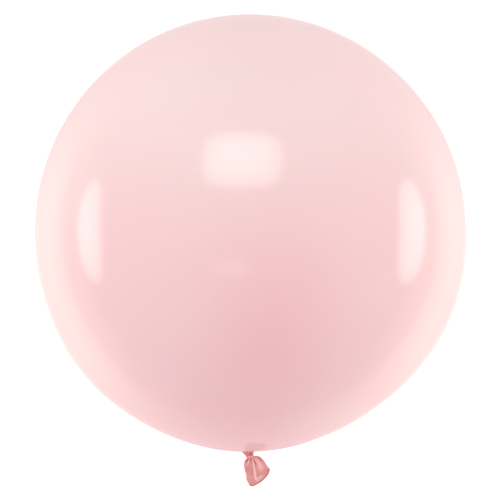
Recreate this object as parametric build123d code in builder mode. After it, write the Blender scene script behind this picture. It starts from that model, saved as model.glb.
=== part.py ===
from build123d import *

import os
from math import cos, radians, sin

# A tied round latex balloon, in millimetres. +Z points from the knot to the crown, +X to the right
# in the front view, and the front view looks along +Y. The origin is the middle of the tie groove,
# the narrowest ring of the neck, where a ribbon or a clip goes.

# Envelope: two half spheres joined by a short straight belt, as an inflated teardrop nearly is.
ENVELOPE_RADIUS = 300.0
BELT_HEIGHT = 9.0
SKIN = 0.5
ENVELOPE_BOTTOM = 7.7

# Neck: a gathered stem that flares into the envelope.
TIE_RADIUS = 4.2
FLARE_RADIUS = 8.0
TIE_HEIGHT = 1.2
NECK_BOTTOM = -0.4

# Knot: one turn of the neck round the bundle of pleats, pulled tight and a little aslant.
KNOT_CENTRE = Vector(0, 0, -2.9)
KNOT_RING_RADIUS = 3.8
KNOT_CORD_RADIUS = 1.3
KNOT_SLANT = 10.0

# Gather: the bundle that passes through the knot. It turns about the knot's centre as a ball does.
TAIL_LEAN = 27.0
BUNDLE_RADIUS = 2.2
BUNDLE_REACH = 5.1
BUNDLE_END_RADIUS = 2.6

# Tail: a flattened, flared tube, cut off at the mouth, with its hollow open there. Each section
# down the tail is given by the left and right ends (x, z) of its wide axis and its half thickness.
TAIL_CLEARANCE = 6.2
LATEX_WALL = 0.6
THROAT = ((-2.6, -5.6), (4.0, -3.4), 1.7)
SHOULDER = ((-7.8, -11.0), (17.2, -4.8), 3.5)
UPPER_BELLY = ((-6.6, -18.0), (21.8, -10.8), 3.8)
LOWER_BELLY = ((-4.6, -28.0), (25.0, -15.0), 3.2)
MOUTH = ((-1.4, -38.4), (27.0, -16.8), 2.2)

RIM_RADIUS = 0.85

os.makedirs("parts", exist_ok=True)


def section_plane(left, right):
    """Plane of a tail section: x along its wide axis, to the right, and z out of the mouth."""
    wide = Vector(right[0] - left[0], 0, right[1] - left[1])
    centre = ((left[0] + right[0]) / 2, 0, (left[1] + right[1]) / 2)
    return Plane(centre, x_dir=wide, z_dir=Vector(0, 1, 0).cross(wide))


def half_width(left, right):
    """Half the length of a section's wide axis."""
    return Vector(right[0] - left[0], right[1] - left[1]).length / 2


# Envelope: the profile between the outer and inner skin, turned about the Z axis.
lower_centre = ENVELOPE_BOTTOM + ENVELOPE_RADIUS
upper_centre = lower_centre + BELT_HEIGHT
inner_radius = ENVELOPE_RADIUS - SKIN
with BuildPart() as envelope:
    with BuildSketch(Plane.XZ):
        with BuildLine():
            RadiusArc((0, ENVELOPE_BOTTOM), (ENVELOPE_RADIUS, lower_centre), -ENVELOPE_RADIUS)
            Line((ENVELOPE_RADIUS, lower_centre), (ENVELOPE_RADIUS, upper_centre))
            RadiusArc(
                (ENVELOPE_RADIUS, upper_centre),
                (0, upper_centre + ENVELOPE_RADIUS),
                -ENVELOPE_RADIUS,
            )
            Line((0, upper_centre + ENVELOPE_RADIUS), (0, upper_centre + inner_radius))
            RadiusArc((0, upper_centre + inner_radius), (inner_radius, upper_centre), inner_radius)
            Line((inner_radius, upper_centre), (inner_radius, lower_centre))
            RadiusArc((inner_radius, lower_centre), (0, lower_centre - inner_radius), inner_radius)
            Line((0, lower_centre - inner_radius), (0, ENVELOPE_BOTTOM))
        make_face()
    revolve(axis=Axis.Z)
envelope.part.label = "envelope"
export_step(envelope.part, "parts/envelope.step")


# Neck: a solid bundle of pleats, with its top cut to the envelope's own curve.
with BuildPart() as neck:
    with BuildSketch(Plane.XZ):
        with BuildLine():
            Polyline((0, NECK_BOTTOM), (TIE_RADIUS, NECK_BOTTOM), (TIE_RADIUS, TIE_HEIGHT))
            TangentArc((TIE_RADIUS, TIE_HEIGHT), (FLARE_RADIUS, ENVELOPE_BOTTOM), tangent=(0, 1))
            Polyline(
                (FLARE_RADIUS, ENVELOPE_BOTTOM),
                (FLARE_RADIUS, ENVELOPE_BOTTOM + 1),
                (0, ENVELOPE_BOTTOM + 1),
                (0, NECK_BOTTOM),
            )
        make_face()
    revolve(axis=Axis.Z)
    with Locations((0, 0, lower_centre)):
        Sphere(ENVELOPE_RADIUS, mode=Mode.SUBTRACT)
neck.part.label = "neck"
export_step(neck.part, "parts/neck.step")


# Knot: the wrap, a ring round the bundle, higher on the right.
with BuildPart() as knot:
    with Locations(Location(KNOT_CENTRE, (0, -KNOT_SLANT, 0))):
        Torus(KNOT_RING_RADIUS, KNOT_CORD_RADIUS)
knot.part.label = "knot"
export_step(knot.part, "parts/knot.step")


# Gather: a ball inside the wrap and a stub that points down the tail's axis.
lean = radians(TAIL_LEAN)
tail_axis = Vector(sin(lean), 0, -cos(lean))
with BuildPart() as gather:
    with Locations(KNOT_CENTRE):
        Sphere(BUNDLE_RADIUS)
    with BuildSketch(Plane(KNOT_CENTRE, z_dir=tail_axis)):
        Circle(BUNDLE_RADIUS / 2)
    with BuildSketch(Plane(KNOT_CENTRE + tail_axis * BUNDLE_REACH, z_dir=tail_axis)):
        Circle(BUNDLE_END_RADIUS)
    loft()
gather.part.label = "gather"
export_step(gather.part, "parts/gather.step")


# Tail: the outer pouch less the hollow, which is open at the mouth, and less the ball of space
# round the knot in which the tail turns.
hollow_sections = [SHOULDER, UPPER_BELLY, LOWER_BELLY, MOUTH]
mouth_plane = section_plane(*MOUTH[:2])
mouth_half_width = half_width(*MOUTH[:2])
mouth_half_thickness = MOUTH[2]
with BuildPart() as tail:
    for left, right, half_thickness in [THROAT, *hollow_sections]:
        with BuildSketch(section_plane(left, right)):
            Ellipse(half_width(left, right), half_thickness)
    loft()
    for left, right, half_thickness in hollow_sections:
        with BuildSketch(section_plane(left, right)):
            Ellipse(half_width(left, right) - LATEX_WALL, half_thickness - LATEX_WALL)
    loft(mode=Mode.SUBTRACT)
    with Locations(KNOT_CENTRE):
        Sphere(TAIL_CLEARANCE, mode=Mode.SUBTRACT)
tail.part.label = "tail"
export_step(tail.part, "parts/tail.step")


# Rolled rim: a round bead that follows the middle of the wall, against the tail's cut end.
with BuildPart() as rolled_rim:
    with BuildLine(mouth_plane.offset(RIM_RADIUS)) as rim_line:
        EllipticalCenterArc(
            (0, 0),
            mouth_half_width - LATEX_WALL / 2,
            mouth_half_thickness - LATEX_WALL / 2,
            arc_size=360,
        )
    rim_path = rim_line.wires()[0]
    with BuildSketch(Plane(rim_path @ 0, z_dir=rim_path % 0)):
        Circle(RIM_RADIUS)
    sweep(path=rim_path)
rolled_rim.part.label = "rolled_rim"
export_step(rolled_rim.part, "parts/rolled_rim.step")
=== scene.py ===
import bpy
import numpy as np
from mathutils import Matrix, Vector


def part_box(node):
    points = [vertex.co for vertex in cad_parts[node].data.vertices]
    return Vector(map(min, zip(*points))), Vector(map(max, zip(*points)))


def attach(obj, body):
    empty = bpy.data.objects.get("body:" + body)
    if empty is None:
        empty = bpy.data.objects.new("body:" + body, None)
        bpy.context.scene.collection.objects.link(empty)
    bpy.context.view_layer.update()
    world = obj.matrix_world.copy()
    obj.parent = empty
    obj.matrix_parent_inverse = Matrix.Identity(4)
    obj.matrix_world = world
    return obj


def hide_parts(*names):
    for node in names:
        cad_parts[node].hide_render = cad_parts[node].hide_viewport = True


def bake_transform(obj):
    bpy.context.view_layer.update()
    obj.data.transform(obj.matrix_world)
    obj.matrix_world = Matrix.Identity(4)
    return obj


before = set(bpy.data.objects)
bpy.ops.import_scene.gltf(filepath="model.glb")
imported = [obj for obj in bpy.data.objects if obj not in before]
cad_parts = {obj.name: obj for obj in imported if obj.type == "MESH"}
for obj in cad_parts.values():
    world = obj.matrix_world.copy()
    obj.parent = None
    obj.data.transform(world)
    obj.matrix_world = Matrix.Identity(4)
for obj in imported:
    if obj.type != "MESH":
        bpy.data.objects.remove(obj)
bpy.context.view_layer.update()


# ---------------------------------------------------------------------------------------------
# Envelope: the blown-up part of the one dipped skin, natural rubber stretched to a few hundredths
# of a millimetre. It is nearly a ball, slightly flat low on the right where the rubber gave less,
# and at the bottom it is drawn into fine folds that turn down into the neck.
# ---------------------------------------------------------------------------------------------
MM = 0.001


def skin(name, rings, fold=None, cap_first=False, cap_last=False, closed=False):
    """A mesh from rings of points, an array of (rings, points, 3) in metres. Four-sided faces join
    each ring to the next, and point outwards if a ring runs counter-clockwise seen from the
    first ring's end. A cap closes an end ring with a fan round its mean point, and a closed skin
    joins its last ring to its first. The fold, one number to a point, is kept as an attribute:
    above 0 on a crest, and below 0 in a crease. The latex materials paint crests paler, a painted
    highlight, and creases darker, a painted shade."""
    count, around, _ = rings.shape
    points = rings.reshape(-1, 3)
    row = np.arange(count if closed else count - 1)[:, None] * around
    below = (row + around) % (count * around)
    column = np.arange(around)[None, :]
    after = (column + 1) % around
    faces = np.stack([row + column, below + column, below + after, row + after], -1)
    faces = faces.reshape(-1, 4).tolist()
    edge = np.arange(around)
    if cap_first:
        points = np.vstack([points, rings[0].mean(axis=0)])
        hub = np.full(around, len(points) - 1)
        faces += np.stack([hub, edge, (edge + 1) % around], -1).tolist()
    if cap_last:
        points = np.vstack([points, rings[-1].mean(axis=0)])
        hub = np.full(around, len(points) - 1)
        last = edge + (count - 1) * around
        faces += np.stack([hub, np.roll(last, -1), last], -1).tolist()
    mesh = bpy.data.meshes.new(name)
    mesh.from_pydata(points.tolist(), [], faces)
    mesh.polygons.foreach_set("use_smooth", np.ones(len(mesh.polygons), dtype=bool))
    if fold is not None:
        values = np.zeros(len(points))
        values[: fold.size] = fold.ravel()
        mesh.attributes.new("fold", "FLOAT", "POINT").data.foreach_set("value", values)
    mesh.update()
    piece = bpy.data.objects.new(name, mesh)
    bpy.context.scene.collection.objects.link(piece)
    return piece


def ease(low, high, at):
    """Smooth step: 0 below low, 1 above high, and three t squared less two t cubed between."""
    t = np.clip((at - low) / (high - low), 0, 1)
    return t * t * (3 - 2 * t)


def envelope_rings():
    """Rings from the crown to the neck. The profile is half an ellipse, then a short curve that
    turns the skin down into the neck. Outward offsets are four swellings and a hollow, each a bell
    curve in the angle from its middle, whose tilt is measured in the front view from the right,
    in degrees, and narrow folds that die out away from the neck. The bottom leans to the left,
    by a smooth step in the radius."""
    low, high = (np.array(corner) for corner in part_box("envelope"))
    half_width = (high[0] - low[0]) / 2
    half_height = (high[2] - low[2]) / 2
    middle = (high[2] + low[2]) / 2

    throat_radius = 12 * MM
    last_polar = np.pi - np.arcsin(throat_radius / half_width)
    # Rings lie closer together towards the neck.
    t = np.linspace(0.002, 1, 190)
    polar = last_polar * (1.3 * t - 0.3 * t**3)
    ball_r = half_width * np.sin(polar)
    ball_z = middle + half_height * np.cos(polar)

    t = np.linspace(0, 1, 26)[1:]
    lip_r = np.array([12.0, 10.0, 8.4, 7.2]) * MM
    lip_z = ball_z[-1] - np.array([0, 0.2, 0.4, 0.8]) * MM
    weights = np.stack([(1 - t) ** 3, 3 * t * (1 - t) ** 2, 3 * t**2 * (1 - t), t**3])
    r = np.concatenate([ball_r, lip_r @ weights])[:, None]
    z = np.concatenate([ball_z, lip_z @ weights])[:, None]

    dr = np.gradient(r, axis=0)
    dz = np.gradient(z, axis=0)
    length = np.hypot(dr, dz)
    normal_r, normal_z = -dz / length, dr / length

    turn = np.linspace(0, 2 * np.pi, 400, endpoint=False)[None, :]
    x, y = r * np.cos(turn), r * np.sin(turn)

    offset = 0
    for tilt, spread, height in (
        (22, 18, 1.3),
        (-20, 18, 3.4),
        (-62, 17, -3.1),
        (-90, 26, 1.3),
        (-140, 15, 2.8),
    ):
        toward = x * np.cos(np.radians(tilt)) + (z - middle) * np.sin(np.radians(tilt))
        off_axis = np.degrees(np.arccos(np.clip(toward / half_width, -1, 1)))
        offset = offset + height * MM * np.exp(-((off_axis / spread) ** 2))

    below = z < middle
    offset = offset * np.where(below, ease(7.5 * MM, 13 * MM, r), 1)
    fold_count = 26
    wander = 0.55 * np.sin(3 * turn + 1.0) + 0.4 * np.sin(5 * turn + 2.3)
    fold = (1 - np.abs(np.sin(fold_count * turn / 2 + wander))) ** 2.5
    uneven = 0.7 + 0.3 * np.sin(2 * turn + 0.7)
    offset = offset - 0.6 * MM * fold * uneven * below * np.exp(-(r - 8 * MM) / (7 * MM))

    lean = -2.2 * MM * below * ease(70 * MM, 12 * MM, r)
    return np.stack(
        [
            x + offset * normal_r * np.cos(turn) + lean,
            y + offset * normal_r * np.sin(turn),
            z + offset * normal_z + 0 * turn,
        ],
        axis=-1,
    )


def linear(red, green, blue):
    """A screen colour, 0 to 255, as the linear colour that a shader takes, by the sRGB curve: a
    straight piece near black, then the power 2.4."""
    c = np.array([red, green, blue]) / 255
    c = np.where(c <= 0.04045, c / 12.92, ((c + 0.055) / 1.055) ** 2.4)
    return tuple(c.tolist())


def new_material(name):
    """An empty node material with a Principled shader."""
    material = bpy.data.materials.new(name)
    material.use_nodes = True
    tree = material.node_tree
    tree.nodes.clear()
    shader = tree.nodes.new("ShaderNodeBsdfPrincipled")
    output = tree.nodes.new("ShaderNodeOutputMaterial")
    tree.links.new(shader.outputs["BSDF"], output.inputs["Surface"])
    return material, tree, shader


def feed(tree, socket, value):
    """Sets an input to a number or a colour, or joins it to another node's output."""
    if isinstance(value, bpy.types.NodeSocket):
        tree.links.new(value, socket)
    elif isinstance(value, tuple):
        socket.default_value = (*value, 1.0)
    else:
        socket.default_value = value


def maths(tree, operation, *values, clamp=False):
    """A Math node: its operation on numbers or other nodes' outputs."""
    node = tree.nodes.new("ShaderNodeMath")
    node.operation = operation
    node.use_clamp = clamp
    for socket, value in zip(node.inputs, values):
        feed(tree, socket, value)
    return node.outputs[0]


def ramp(tree, value, low, high, at_low=0.0, at_high=1.0):
    """A smooth step from one value to another as the input goes from low to high."""
    node = tree.nodes.new("ShaderNodeMapRange")
    node.interpolation_type = "SMOOTHSTEP"
    limits = {"From Min": low, "From Max": high, "To Min": at_low, "To Max": at_high}
    for name, number in limits.items():
        node.inputs[name].default_value = number
    tree.links.new(value, node.inputs["Value"])
    return node.outputs["Result"]


def tint(tree, share, first, second):
    """A mix of two colours, from the first at a share of 0 to the second at 1."""
    node = tree.nodes.new("ShaderNodeMix")
    node.data_type = "RGBA"
    feed(tree, node.inputs[0], share)
    feed(tree, node.inputs[6], first)
    feed(tree, node.inputs[7], second)
    return node.outputs[2]


def noise(tree, scale, detail):
    """A Noise texture over the object's own coordinates, about one half."""
    place = tree.nodes.new("ShaderNodeTexCoord")
    node = tree.nodes.new("ShaderNodeTexNoise")
    tree.links.new(place.outputs["Object"], node.inputs["Vector"])
    feed(tree, node.inputs["Scale"], scale)
    feed(tree, node.inputs["Detail"], detail)
    return node.outputs["Fac"]


def dipped_latex_group():
    """What dipped rubber has at any thickness: clouds where the rubber is a little thicker, and a
    fine ripple from drying. Clouds are wide noise about one half, added to the share that each
    material gives, which carries its painted light and shade, and the sum is mixed between two
    colours."""
    group = bpy.data.node_groups.new("dipped latex", "ShaderNodeTree")
    for name, kind, value in (
        ("Pale Tone", "NodeSocketColor", (1, 1, 1, 1)),
        ("Deep Tone", "NodeSocketColor", (0.5, 0.5, 0.5, 1)),
        ("Build-up and Painted Shade", "NodeSocketFloat", 0.0),
        ("Cloud Scale", "NodeSocketFloat", 6.0),
        ("Cloud Amount", "NodeSocketFloat", 0.2),
        ("Ripple Scale", "NodeSocketFloat", 300.0),
        ("Ripple Height", "NodeSocketFloat", 0.02),
        ("Gloss", "NodeSocketFloat", 0.15),
    ):
        group.interface.new_socket(name, in_out="INPUT", socket_type=kind).default_value = value
    for name, kind in (
        ("Color", "NodeSocketColor"),
        ("Roughness", "NodeSocketFloat"),
        ("Normal", "NodeSocketVector"),
    ):
        group.interface.new_socket(name, in_out="OUTPUT", socket_type=kind)
    start = group.nodes.new("NodeGroupInput").outputs
    end = group.nodes.new("NodeGroupOutput").inputs
    clouds = noise(group, start["Cloud Scale"], 3.0)
    centred = maths(group, "SUBTRACT", clouds, 0.5)
    amount, build_up_and_shade = start["Cloud Amount"], start["Build-up and Painted Shade"]
    # Share of the deep tone: the clouds plus the share the material gives, which holds its painted
    # highlight and painted shade.
    film_and_shade = maths(group, "MULTIPLY_ADD", centred, amount, build_up_and_shade, clamp=True)
    group.links.new(tint(group, film_and_shade, start["Pale Tone"], start["Deep Tone"]), end["Color"])
    group.links.new(maths(group, "MULTIPLY_ADD", clouds, 0.05, start["Gloss"]), end["Roughness"])
    bump = group.nodes.new("ShaderNodeBump")
    bump.inputs["Distance"].default_value = MM
    group.links.new(start["Ripple Height"], bump.inputs["Strength"])
    group.links.new(noise(group, start["Ripple Scale"], 2.0), bump.inputs["Height"])
    group.links.new(bump.outputs["Normal"], end["Normal"])
    return group


def latex(tree, shader, values):
    """Puts the dipped latex group, with a material's own values, in front of its shader."""
    node = tree.nodes.new("ShaderNodeGroup")
    node.node_tree = DIPPED_LATEX
    for name, value in values.items():
        feed(tree, node.inputs[name], value)
    tree.links.new(node.outputs["Color"], shader.inputs["Base Color"])
    tree.links.new(node.outputs["Roughness"], shader.inputs["Roughness"])
    tree.links.new(node.outputs["Normal"], shader.inputs["Normal"])


def patch(tree, centre, half_size):
    """A soft ellipsoid: 1 at its centre, falling smoothly to 0 at the given half size on each
    axis. It is a smooth step in the length of the offset over the half size."""
    place = tree.nodes.new("ShaderNodeTexCoord")
    mapping = tree.nodes.new("ShaderNodeMapping")
    mapping.inputs["Location"].default_value = [-c / h for c, h in zip(centre, half_size)]
    mapping.inputs["Scale"].default_value = [1 / h for h in half_size]
    length = tree.nodes.new("ShaderNodeVectorMath")
    length.operation = "LENGTH"
    tree.links.new(place.outputs["Object"], mapping.inputs["Vector"])
    tree.links.new(mapping.outputs["Vector"], length.inputs[0])
    return ramp(tree, length.outputs["Value"], 1.0, 0.0)


DIPPED_LATEX = dipped_latex_group()


def stretched_latex():
    """Glossy, highly stretched skin. Its colour deepens from the crown downwards, partly as the
    rubber gets thicker low down and partly as painted shade on the lower half, and most of all in
    painted shade down the front to the neck. More painted shade darkens the upper right, and a
    painted reflection makes a place low on the right paler. It is duller by the neck."""
    material, tree, shader = new_material("stretched latex")
    place = tree.nodes.new("ShaderNodeTexCoord")
    split = tree.nodes.new("ShaderNodeSeparateXYZ")
    tree.links.new(place.outputs["Object"], split.inputs[0])
    # Deeper towards the bottom: partly thicker rubber low down, partly painted shade of the lower
    # half.
    deepening_and_shade = ramp(tree, split.outputs["Z"], 0.50, 0.25, 0.06, 0.46)
    # Painted shade in three overlapping parts of a run down the front to the neck and in a patch on
    # the upper right, then a painted reflection that makes a place low on the right paler.
    for centre, half_size, amount in (
        ((0.043, -0.27, 0.185), (0.13, 0.2, 0.15), 0.16),
        ((0.0, -0.2, 0.10), (0.13, 0.2, 0.15), 0.15),
        ((0.02, -0.25, 0.15), (0.24, 0.25, 0.24), 0.10),
        ((0.14, -0.1, 0.46), (0.26, 0.5, 0.26), 0.12),
        ((0.12, -0.12, 0.04), (0.13, 0.2, 0.08), -0.2),
    ):
        deepening_and_shade = maths(tree, "MULTIPLY_ADD", patch(tree, centre, half_size), amount, deepening_and_shade)
    near_neck = patch(tree, (0, 0, 0.006), (0.12, 0.12, 0.05))
    latex(
        tree,
        shader,
        {
            "Pale Tone": (0.845, 0.69, 0.70),
            "Deep Tone": (0.83, 0.425, 0.465),
            "Build-up and Painted Shade": deepening_and_shade,
            "Cloud Scale": 7.0,
            "Cloud Amount": 0.12,
            "Ripple Scale": 260.0,
            "Ripple Height": 0.015,
            "Gloss": maths(tree, "MULTIPLY_ADD", near_neck, 0.22, 0.1),
        },
    )
    shader.inputs["IOR"].default_value = 1.52
    shader.inputs["Specular IOR Level"].default_value = 0.6
    return material


envelope = skin("balloon_envelope", envelope_rings(), cap_first=True, cap_last=True)
envelope.data.materials.append(stretched_latex())
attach(envelope, "balloon")
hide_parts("envelope")


# ---------------------------------------------------------------------------------------------
# Neck: the short stem above the knot, the same skin hardly stretched, packed into deep pleats
# and wrung a little as the knot was pulled tight. It runs up inside the lip of the envelope.
# ---------------------------------------------------------------------------------------------
def pleated_bundle(
    stations, centres, half_widths, half_depths, pleats, depth, wring, seed, rows, across
):
    """Rings and folds of a packed bundle of skin. Centre, half width and half depth are smooth
    curves through the values at the stations. Each ring's radius is cut by sharp valleys, one to
    each pleat, unevenly spaced, and the pleats turn by the wring angle from first ring to last."""
    t = np.linspace(stations[0], stations[-1], rows)
    centre = np.stack([through(stations, line, t) for line in np.array(centres).T], -1) * MM
    wide = through(stations, half_widths, t)[:, None] * MM
    deep = through(stations, half_depths, t)[:, None] * MM
    turn = np.linspace(0, 2 * np.pi, 240, endpoint=False)[None, :]
    share = (t - t[0])[:, None] / (t[-1] - t[0])
    spread = turn + wring * share
    wander = 0.5 * np.sin(2 * spread + seed) + 0.35 * np.sin(3 * spread + 2 * seed)
    phase = spread * pleats / 2 + wander
    valley = (1 - np.abs(np.sin(phase))) ** 1.6
    uneven = 0.65 + 0.35 * np.sin(3 * turn + 4 * seed + 2 * share)
    shape = 1 - depth(t)[:, None] * valley * uneven
    side = np.array(across)
    front = np.array([0.0, 1.0, 0.0])
    rings = (
        centre[:, None, :]
        + (wide * shape * np.cos(turn))[..., None] * side
        + (deep * shape * np.sin(turn))[..., None] * front
    )
    # Fold values: low in the pleat valleys, which the material draws as painted shade, and a little
    # over 0 between them, drawn paler.
    return rings, 0.2 - valley * uneven


def through(stations, values, at):
    """A smooth curve through the values at the stations: on each span a cubic, whose slope at
    either end is that of the line between the neighbours on both sides."""
    stations = np.asarray(stations, float)
    values = np.asarray(values, float)
    slopes = np.gradient(values, stations)
    span = np.clip(np.searchsorted(stations, at, side="right") - 1, 0, len(stations) - 2)
    width = stations[span + 1] - stations[span]
    t = (at - stations[span]) / width
    return (
        (2 * t**3 - 3 * t**2 + 1) * values[span]
        + (t**3 - 2 * t**2 + t) * width * slopes[span]
        + (3 * t**2 - 2 * t**3) * values[span + 1]
        + (t**3 - t**2) * width * slopes[span + 1]
    )


knot_low, knot_high = (np.array(corner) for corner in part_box("knot"))
KNOT_CENTRE = (knot_low + knot_high) / 2 / MM
NECK_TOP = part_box("neck")[1][2] / MM


def fold_light_and_shade(tree, crest, crease, on_crest, in_crease):
    """Painted highlight and painted shade from the mesh's fold: a smooth step from the crest's
    share, paler, to the crease's, darker.
    """
    node = tree.nodes.new("ShaderNodeAttribute")
    node.attribute_name = "fold"
    return ramp(tree, node.outputs["Fac"], crease, crest, in_crease, on_crest)


def gathered_latex():
    """Heavy unstretched skin, strong in colour, with painted shade down between the pleats and a
    painted highlight on their crests. Some light goes into the rubber and comes out red."""
    material, tree, shader = new_material("gathered latex")
    latex(
        tree,
        shader,
        {
            # Pale tone: the painted highlight on the crests; deep tone: the painted shade in the
            # pleats.
            "Pale Tone": linear(252, 184, 176),
            "Deep Tone": linear(200, 58, 54),
            "Build-up and Painted Shade": fold_light_and_shade(tree, 0.9, -0.6, 0.0, 0.95),
            "Cloud Scale": 260.0,
            "Cloud Amount": 0.5,
            "Ripple Scale": 2400.0,
            "Ripple Height": 0.15,
            "Gloss": 0.3,
        },
    )
    shader.inputs["Subsurface Weight"].default_value = 0.25
    shader.inputs["Subsurface Radius"].default_value = (1.0, 0.35, 0.3)
    shader.inputs["Subsurface Scale"].default_value = 0.6 * MM
    return material


GATHERED_LATEX = gathered_latex()
neck_rings, neck_folds = pleated_bundle(
    stations=[-NECK_TOP - 1, -7.0, -5.6, -3.6, -1.4, 0.0, 2.6],
    centres=[
        (-2.6, 0, 9.6),
        (-2.7, 0, 7.0),
        (-2.6, 0, 5.6),
        (-2.0, 0, 3.8),
        (-1.2, 0, 1.8),
        (-0.8, 0, 0.4),
        (-0.2, 0, -2.2),
    ],
    half_widths=[5.8, 8.3, 8.0, 6.7, 5.6, 5.0, 4.2],
    half_depths=[5.8, 8.0, 7.4, 6.0, 5.2, 4.7, 3.9],
    pleats=11,
    depth=lambda t: 0.28 - 0.08 * ease(-3, 2, t),
    wring=np.radians(35),
    seed=0.9,
    rows=70,
    across=(1, 0, 0),
)
neck = skin("neck_pleats", neck_rings, neck_folds, cap_first=True, cap_last=True)
neck.data.materials.append(GATHERED_LATEX)
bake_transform(neck)
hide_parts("neck")


# ---------------------------------------------------------------------------------------------
# Knot: one turn and a half of the neck round the bundle, pulled tight, so that it lies as a
# narrow wrinkled band, higher on the right. Its ends are tucked into the bundle.
# ---------------------------------------------------------------------------------------------
def knot_rings():
    """Rings and folds of a band that winds round the top of the bundle. Its line is a helix that
    is squeezed at both ends towards the bundle, in a plane tilted up to the right. The section
    is an oval with shallow wrinkles that run along the band and drift round it."""
    t = np.linspace(0, 1, 180)
    angle = np.radians(190) + t * np.radians(540)
    tuck = ease(0, 0.12, t) * ease(1, 0.88, t)
    radius = (3.2 + 1.5 * tuck) * MM
    rise = (0.5 - t) * 1.5 * MM
    tilt = np.radians(12)
    centre = KNOT_CENTRE * MM + np.array([0.1 * MM, 0, 2.5 * MM])
    flat = np.stack([radius * np.cos(angle), radius * np.sin(angle), rise], -1)
    line = centre + np.stack(
        [
            flat[:, 0] * np.cos(tilt) - flat[:, 2] * np.sin(tilt),
            flat[:, 1],
            flat[:, 0] * np.sin(tilt) + flat[:, 2] * np.cos(tilt),
        ],
        -1,
    )
    along = np.gradient(line, axis=0)
    along /= np.linalg.norm(along, axis=1)[:, None]
    outward = line - centre
    outward -= (outward * along).sum(1)[:, None] * along
    outward /= np.linalg.norm(outward, axis=1)[:, None]
    upward = np.cross(outward, along)
    turn = np.linspace(0, 2 * np.pi, 72, endpoint=False)[None, :]
    wrinkle = 0.09 * np.cos(5 * turn + 7 * t[:, None]) + 0.05 * np.sin(9 * turn - 22 * t[:, None])
    size = (0.35 + 0.65 * tuck)[:, None] * (1 + wrinkle) * MM
    rings = (
        line[:, None, :]
        + (0.85 * size * np.cos(turn))[..., None] * outward[:, None, :]
        + (1.15 * size * np.sin(turn))[..., None] * upward[:, None, :]
    )
    # Fold values: the band counts almost as a crest, so it is drawn pale, and its wrinkles become
    # small patches of painted highlight and painted shade.
    return rings, 0.75 + 4 * wrinkle


knot = skin("knot_wrap", *knot_rings(), cap_first=True, cap_last=True)
knot.data.materials.append(GATHERED_LATEX)
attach(knot, "knot")
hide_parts("knot")


# ---------------------------------------------------------------------------------------------
# Gather: the bundle of pleats that the knot grips, of unstretched skin packed tight. It comes out
# under the knot and opens into the tail.
# ---------------------------------------------------------------------------------------------
TAIL_LEAN = np.radians(27)
TAIL_AXIS = np.array([np.sin(TAIL_LEAN), 0, -np.cos(TAIL_LEAN)])
TAIL_SIDE = np.array([np.cos(TAIL_LEAN), 0, np.sin(TAIL_LEAN)])
gather_stations = np.array([-2.0, 0.0, 2.5, 5.0, 7.5])
gather_rings, gather_folds = pleated_bundle(
    stations=gather_stations,
    centres=KNOT_CENTRE + gather_stations[:, None] * TAIL_AXIS,
    half_widths=[2.6, 3.1, 3.8, 4.9, 6.0],
    half_depths=[2.6, 3.0, 3.1, 3.0, 2.6],
    pleats=9,
    depth=lambda t: 0.22 + 0 * t,
    wring=0.0,
    seed=2.1,
    rows=50,
    across=TAIL_SIDE,
)
gather = skin("gathered_bundle", gather_rings, gather_folds, cap_first=True, cap_last=True)
gather.data.materials.append(GATHERED_LATEX)
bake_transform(gather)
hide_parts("gather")


# ---------------------------------------------------------------------------------------------
# Tail: the free end of the dipped neck, slack and never blown up, so it keeps its full thickness
# and colour. Pinched by the knot, it lies as a flat pouch with one long fold down its front.
# ---------------------------------------------------------------------------------------------
TAIL_STATIONS = [0, 0.07, 0.16, 0.3, 0.52, 0.76, 0.92, 1]
TAIL_LEFT = [
    (-3.2, -2.6),
    (-5.6, -4.4),
    (-7.4, -7.4),
    (-8.2, -11.2),
    (-7.0, -18.2),
    (-5.0, -26.8),
    (-3.9, -33.4),
    (-1.0, -38.2),
]
TAIL_RIGHT = [
    (4.6, -0.2),
    (7.8, 0.2),
    (12.8, -0.4),
    (17.1, -3.8),
    (20.8, -8.7),
    (23.2, -12.6),
    (25.0, -14.8),
    (26.6, -17.0),
]
TAIL_HALF_DEPTH = [2.8, 3.8, 4.4, 4.6, 4.0, 3.2, 2.6, 2.3]


def bell(at, middle, spread):
    """A bell curve of height 1: e to the minus square of the distance over the spread."""
    return np.exp(-(((at - middle) / spread) ** 2))


def relief(side, t, folds):
    """The sum of long folds that fan out of the knot. Each is a bell curve across, about a line
    that drifts sideways down the tail, and is whole to one point of its length and gone at
    another. A height above 0 is a crest, and one below 0 is a crease."""
    total = 0
    for start, drift, spread, height, whole, gone in folds:
        line = start + drift * t
        total = total + height * bell(side, line, spread * (0.75 + 0.45 * t)) * ease(gone, whole, t)
    return total


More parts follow.
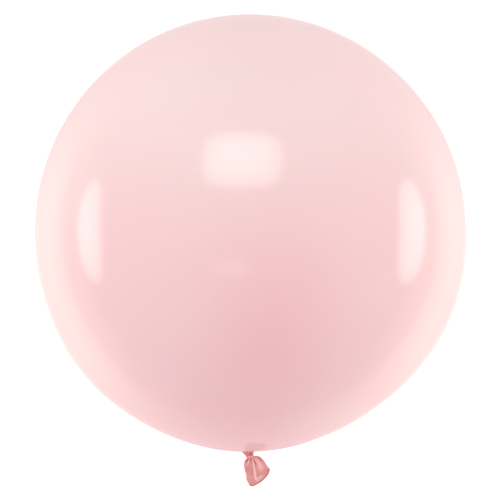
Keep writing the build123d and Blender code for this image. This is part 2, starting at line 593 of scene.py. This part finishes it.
def tail_rings(rows=100, around=400):
    """Rings and folds of the pouch. Each ring is a flat oval between the left and right edges,
    which are smooth curves through the stations. Folds raise or sink its front and its back,
    fine puckers ripple out of the knot, a hem stands up across the middle of the front near the
    mouth, and a panel swells on the front's left. Towards the mouth the rings bulge downwards,
    furthest a little left of the middle."""
    t = np.linspace(0, 1, rows)
    left = np.stack([through(TAIL_STATIONS, line, t) for line in np.array(TAIL_LEFT).T], -1)
    right = np.stack([through(TAIL_STATIONS, line, t) for line in np.array(TAIL_RIGHT).T], -1)
    half_depth = through(TAIL_STATIONS, TAIL_HALF_DEPTH, t)[:, None]
    turn = np.linspace(0, 2 * np.pi, around, endpoint=False)[None, :]
    t = t[:, None]
    side = np.cos(turn)
    depth = -np.sign(np.sin(turn)) * (1 - np.abs(side) ** 2.35) ** 0.375

    front = relief(
        side,
        t,
        [
            (0.16, -0.52, 0.065, 1.9, 0.9, 1.0),
            (0.08, 0.25, 0.07, -1.7, 0.3, 0.55),
            (-0.1, -0.3, 0.06, -1.6, 0.05, 0.3),
            (-0.15, -1.4, 0.09, 1.1, 0.25, 0.5),
            (-0.55, -1.0, 0.12, -2.2, 0.06, 0.24),
            (0.38, 0.1, 0.09, -1.6, 0.08, 0.34),
            (0.42, 0.0, 0.24, 1.5, 0.5, 1.0),
            (0.85, -0.3, 0.09, -1.5, 0.06, 0.28),
        ],
    )
    hem = bell(t, 0.93, 0.035) * ease(-0.4, -0.15, side) * ease(0.45, 0.05, side)
    front = front + 1.1 * hem
    back = relief(
        side,
        t,
        [
            (-0.1, 0.35, 0.09, 1.2, 0.8, 1.0),
            (-0.3, -0.2, 0.08, -1.5, 0.2, 0.5),
            (0.25, 0.2, 0.08, -1.6, 0.2, 0.55),
            (0.65, -0.3, 0.09, -1.3, 0.1, 0.3),
            (-0.7, -0.6, 0.09, -1.4, 0.06, 0.25),
        ],
    )
    pucker = 0.3 * np.sin(17 * side + 3 * np.sin(5 * side)) * ease(0.22, 0.0, t)
    fold = (front + pucker) * ease(0.0, 0.45, -depth) + (back + pucker) * ease(0.0, 0.45, depth)
    panel = 0.6 * ease(0.2, -0.1, side) * ease(1.0, 0.8, t) * ease(0.05, 0.3, t)
    panel = panel * ease(0.0, 0.45, -depth)
    y = half_depth * depth + (fold + panel) * np.sign(depth)

    middle = (left + right) / 2
    half = (right - left) / 2
    outward = np.stack([half[:, 1], -half[:, 0]], -1) / np.linalg.norm(half, axis=1)[:, None]
    sag = through(
        [-1, -0.93, -0.75, -0.5, -0.2, 0.1, 0.3, 0.5, 0.7, 0.85, 1],
        [0, 2.8, 4.9, 5.7, 6.4, 6.1, 5.7, 4.9, 3.8, 2.3, 0],
        side,
    )
    bulge = sag * t**3
    x = middle[:, :1] + half[:, :1] * side + outward[:, :1] * bulge
    z = middle[:, 1:] + half[:, 1:] * side + outward[:, 1:] * bulge
    return np.stack([x, y, z], -1) * MM, fold


def slack_latex():
    """Full-thickness skin, satin and a little dusty from the powder that keeps it from sticking,
    with a painted highlight along its crests and painted shade in its creases.
    """
    material, tree, shader = new_material("slack latex")
    latex(
        tree,
        shader,
        {
            # Pale tone: the painted highlight on the crests; deep tone: the painted shade in the
            # creases.
            "Pale Tone": linear(255, 205, 205),
            "Deep Tone": linear(208, 86, 78),
            "Build-up and Painted Shade": fold_light_and_shade(tree, 1.8, -1.6, 0.0, 1.0),
            "Cloud Scale": 90.0,
            "Cloud Amount": 0.7,
            "Ripple Scale": 1500.0,
            "Ripple Height": 0.12,
            "Gloss": 0.28,
        },
    )
    shader.inputs["Subsurface Weight"].default_value = 0.25
    shader.inputs["Subsurface Radius"].default_value = (1.0, 0.4, 0.35)
    shader.inputs["Subsurface Scale"].default_value = 0.8 * MM
    return material


SLACK_LATEX = slack_latex()
pouch, tail_folds = tail_rings()
tail = skin("tail_pouch", pouch[::-1, ::-1], tail_folds[::-1, ::-1], cap_last=True)
tail.data.materials.append(SLACK_LATEX)
wall = tail.modifiers.new("wall", "SOLIDIFY")
wall.thickness = 0.45 * MM
wall.offset = -1
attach(tail, "tail")
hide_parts("tail")


# ---------------------------------------------------------------------------------------------
# Rolled rim: the edge of the dipped neck rolled on itself into a round bead, which is what the
# lips grip when the balloon is blown up. It follows the mouth of the tail all the way round.
# ---------------------------------------------------------------------------------------------
def rim_rings():
    """Rings of a bead, each running all round the mouth. The bead's section is a circle set
    square to the mouth's edge, a little fatter and thinner along its length, with a shallow
    groove where the roll ends."""
    edge = pouch[-1]
    along = np.roll(edge, -1, axis=0) - np.roll(edge, 1, axis=0)
    along /= np.linalg.norm(along, axis=1)[:, None]
    inside = pouch[-4]
    outward = edge - inside
    outward -= (outward * along).sum(1)[:, None] * along
    outward /= np.linalg.norm(outward, axis=1)[:, None]
    sideways = np.cross(along, outward)
    t = np.linspace(0, 2 * np.pi, len(edge), endpoint=False)[:, None]
    turn = np.linspace(0, 2 * np.pi, 28, endpoint=False)[None, :]
    size = 0.85 * MM * (1 + 0.05 * np.sin(5 * t) + 0.03 * np.sin(13 * t + 1))
    size = size * (1 - 0.12 * bell(turn, 2.2, 0.25))
    centre = edge + outward * 0.4 * MM
    rings = (
        centre[:, None, :]
        + (size * np.cos(turn))[..., None] * outward[:, None, :]
        + (size * np.sin(turn))[..., None] * sideways[:, None, :]
    )
    return np.swapaxes(rings, 0, 1)


bead = rim_rings()
# The whole bead takes a crease's fold value, so it is drawn in the deep tone: partly the darker
# colour of the rolled-up rubber, partly painted shade.
rim = skin("rolled_rim_bead", bead, np.full(bead.shape[:2], -0.9), closed=True)
rim.data.materials.append(SLACK_LATEX)
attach(rim, "tail")
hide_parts("rolled_rim")


# ---------------------------------------------------------------------------------------------
# Studio: a seamless white floor and surround, a wide softbox above and in front, a tall softbox
# on either side, a weak card low in front, and a camera a little below the balloon's middle.
# ---------------------------------------------------------------------------------------------
box_low, box_high = (np.array(corner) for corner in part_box("envelope"))
BALLOON_CENTRE = (box_low + box_high) / 2
# How bright the floor and the surround look: just past white.
OVER_WHITE = 1.05
SQUARE = ((-1, -1), (1, -1), (1, 1), (-1, 1))


def plane(name, corners, material):
    """One four-sided face with the unit square as its UVs."""
    mesh = bpy.data.meshes.new(name)
    mesh.from_pydata(corners, [], [(0, 1, 2, 3)])
    uv = mesh.uv_layers.new(name="uv")
    uv.data.foreach_set("uv", [0, 0, 1, 0, 1, 1, 0, 1])
    mesh.materials.append(material)
    piece = bpy.data.objects.new(name, mesh)
    bpy.context.scene.collection.objects.link(piece)
    return piece


def floor():
    """A large square some way below the tail, plain white on top and clear from underneath, that
    neither lights nor shades."""
    half = 12.0
    height = -0.45
    material = bpy.data.materials.new("white floor")
    material.use_nodes = True
    tree = material.node_tree
    tree.nodes.clear()
    white = tree.nodes.new("ShaderNodeEmission")
    feed(tree, white.inputs["Color"], (1, 1, 1))
    white.inputs["Strength"].default_value = OVER_WHITE
    one_sided = tree.nodes.new("ShaderNodeMixShader")
    backfacing = tree.nodes.new("ShaderNodeNewGeometry").outputs["Backfacing"]
    tree.links.new(backfacing, one_sided.inputs["Fac"])
    tree.links.new(white.outputs[0], one_sided.inputs[1])
    tree.links.new(tree.nodes.new("ShaderNodeBsdfTransparent").outputs[0], one_sided.inputs[2])
    output = tree.nodes.new("ShaderNodeOutputMaterial")
    tree.links.new(one_sided.outputs[0], output.inputs["Surface"])
    corners = [(a * half, b * half, height) for a, b in SQUARE]
    piece = plane("floor", corners, material)
    piece.visible_diffuse = False
    piece.visible_glossy = False
    piece.visible_transmission = False
    piece.visible_shadow = False


floor()


def softbox(name, azimuth, elevation, width, height, radiance, squareness, softness):
    """A glowing panel three metres away that faces the balloon. Azimuth is from the camera's side,
    positive to the right, and all angles are in degrees. Its glow is a superellipse: brightest in
    the middle, half as bright near the edge, and fading out over the outer share, softness."""
    distance = 3.0
    around, up = np.radians(azimuth), np.radians(elevation)
    toward = np.array([np.sin(around) * np.cos(up), -np.cos(around) * np.cos(up), np.sin(up)])
    level = np.array([np.cos(around), np.sin(around), 0])
    across = level * distance * np.tan(np.radians(width / 2))
    rise = np.cross(level, toward) * distance * np.tan(np.radians(height / 2))
    centre = BALLOON_CENTRE + toward * distance
    corners = [(centre + a * across - b * rise).tolist() for a, b in SQUARE]
    material = bpy.data.materials.new(name)
    material.use_nodes = True
    tree = material.node_tree
    tree.nodes.clear()
    split = tree.nodes.new("ShaderNodeSeparateXYZ")
    tree.links.new(tree.nodes.new("ShaderNodeTexCoord").outputs["UV"], split.inputs[0])
    powers = []
    for axis in ("X", "Y"):
        signed = maths(tree, "MULTIPLY_ADD", split.outputs[axis], 2.0, -1.0)
        powers.append(maths(tree, "POWER", maths(tree, "ABSOLUTE", signed), squareness))
    ring = maths(tree, "POWER", maths(tree, "ADD", *powers), 2 / squareness)
    dome = maths(tree, "MULTIPLY_ADD", ring, -0.5, 1.0)
    edge = ramp(tree, ring, 1 - softness, 1, 1.0, 0.0)
    light = tree.nodes.new("ShaderNodeEmission")
    feed(tree, light.inputs["Color"], (1.0, 0.93, 0.84))
    glow = maths(tree, "MULTIPLY", dome, edge)
    feed(tree, light.inputs["Strength"], maths(tree, "MULTIPLY", glow, radiance))
    both = tree.nodes.new("ShaderNodeAddShader")
    tree.links.new(light.outputs[0], both.inputs[0])
    tree.links.new(tree.nodes.new("ShaderNodeBsdfTransparent").outputs[0], both.inputs[1])
    output = tree.nodes.new("ShaderNodeOutputMaterial")
    tree.links.new(both.outputs[0], output.inputs["Surface"])
    panel = plane(name, corners, material)
    panel.visible_camera = False


for name, azimuth, elevation, width, height, radiance, squareness, softness in (
    ("key", -4.3, 32.5, 42, 31, 3.8, 3.6, 0.5),
    ("left", -89.6, 0.5, 19.5, 38, 3.5, 2.3, 0.25),
    ("right", 90.9, 0.5, 22, 38, 3.7, 2.3, 0.25),
    ("card", -9, -20, 24, 9, 1.4, 2.0, 1.0),
):
    softbox(name, azimuth, elevation, width, height, radiance, squareness, softness)


def surround():
    """White to the camera. As a light it is a room that is white in front, a little brighter
    below, and behind the balloon cream to the sides, pink above and deeper pink below: smooth
    steps in how far back a direction points, how high, and how steeply it leaves the back axis."""
    world = bpy.data.worlds.new("studio")
    bpy.context.scene.world = world
    world.use_nodes = True
    tree = world.node_tree
    tree.nodes.clear()
    split = tree.nodes.new("ShaderNodeSeparateXYZ")
    tree.links.new(tree.nodes.new("ShaderNodeTexCoord").outputs["Generated"], split.inputs[0])
    back, height = split.outputs["Y"], split.outputs["Z"]
    minus_back = maths(tree, "MULTIPLY", back, -1.0)
    off_axis = maths(tree, "SQRT", maths(tree, "MULTIPLY_ADD", back, minus_back, 1.0))
    climb = maths(tree, "DIVIDE", height, maths(tree, "MAXIMUM", off_axis, 0.001))
    near = tint(tree, ramp(tree, back, 0.42, 0.50), (1.4, 1.33, 1.25), (2.0, 1.88, 1.66))
    beside = tint(tree, ramp(tree, back, 0.6, 0.97), near, (1.2, 1.1, 1.02))
    above = tint(tree, ramp(tree, climb, 0.05, 0.75), beside, (0.99, 0.79, 0.80))
    screen = tint(tree, ramp(tree, climb, -1.08, -0.45), (1.0, 0.68, 0.69), above)
    room = tint(tree, ramp(tree, height, -0.8, 0.8), (0.96, 0.93, 0.93), (0.72, 0.71, 0.71))
    lit = tree.nodes.new("ShaderNodeBackground")
    feed(tree, lit.inputs["Color"], tint(tree, ramp(tree, back, 0.14, 0.28), room, screen))
    white = tree.nodes.new("ShaderNodeBackground")
    feed(tree, white.inputs["Color"], (1, 1, 1))
    white.inputs["Strength"].default_value = OVER_WHITE
    mix = tree.nodes.new("ShaderNodeMixShader")
    to_camera = tree.nodes.new("ShaderNodeLightPath").outputs["Is Camera Ray"]
    tree.links.new(to_camera, mix.inputs["Fac"])
    tree.links.new(lit.outputs[0], mix.inputs[1])
    tree.links.new(white.outputs[0], mix.inputs[2])
    tree.links.new(mix.outputs[0], tree.nodes.new("ShaderNodeOutputWorld").inputs["Surface"])


surround()


def studio_camera():
    """A long lens, aimed a little under the balloon's middle, from slightly below it."""
    distance = 3.6
    rise = np.radians(-3)
    frame_width = 0.6993
    aim = np.array([0, 0, BALLOON_CENTRE[2] - 0.0242])
    lens = bpy.data.cameras.new("camera")
    lens.sensor_width = 36
    lens.lens = 36 * distance / frame_width
    lens.clip_end = 50
    eye = bpy.data.objects.new("camera", lens)
    eye.location = aim + distance * np.array([0, -np.cos(rise), np.sin(rise)])
    eye.rotation_euler = (np.pi / 2 - rise, 0, 0)
    bpy.context.scene.collection.objects.link(eye)
    bpy.context.scene.camera = eye


studio_camera()
bpy.context.scene.view_settings.view_transform = "Standard"
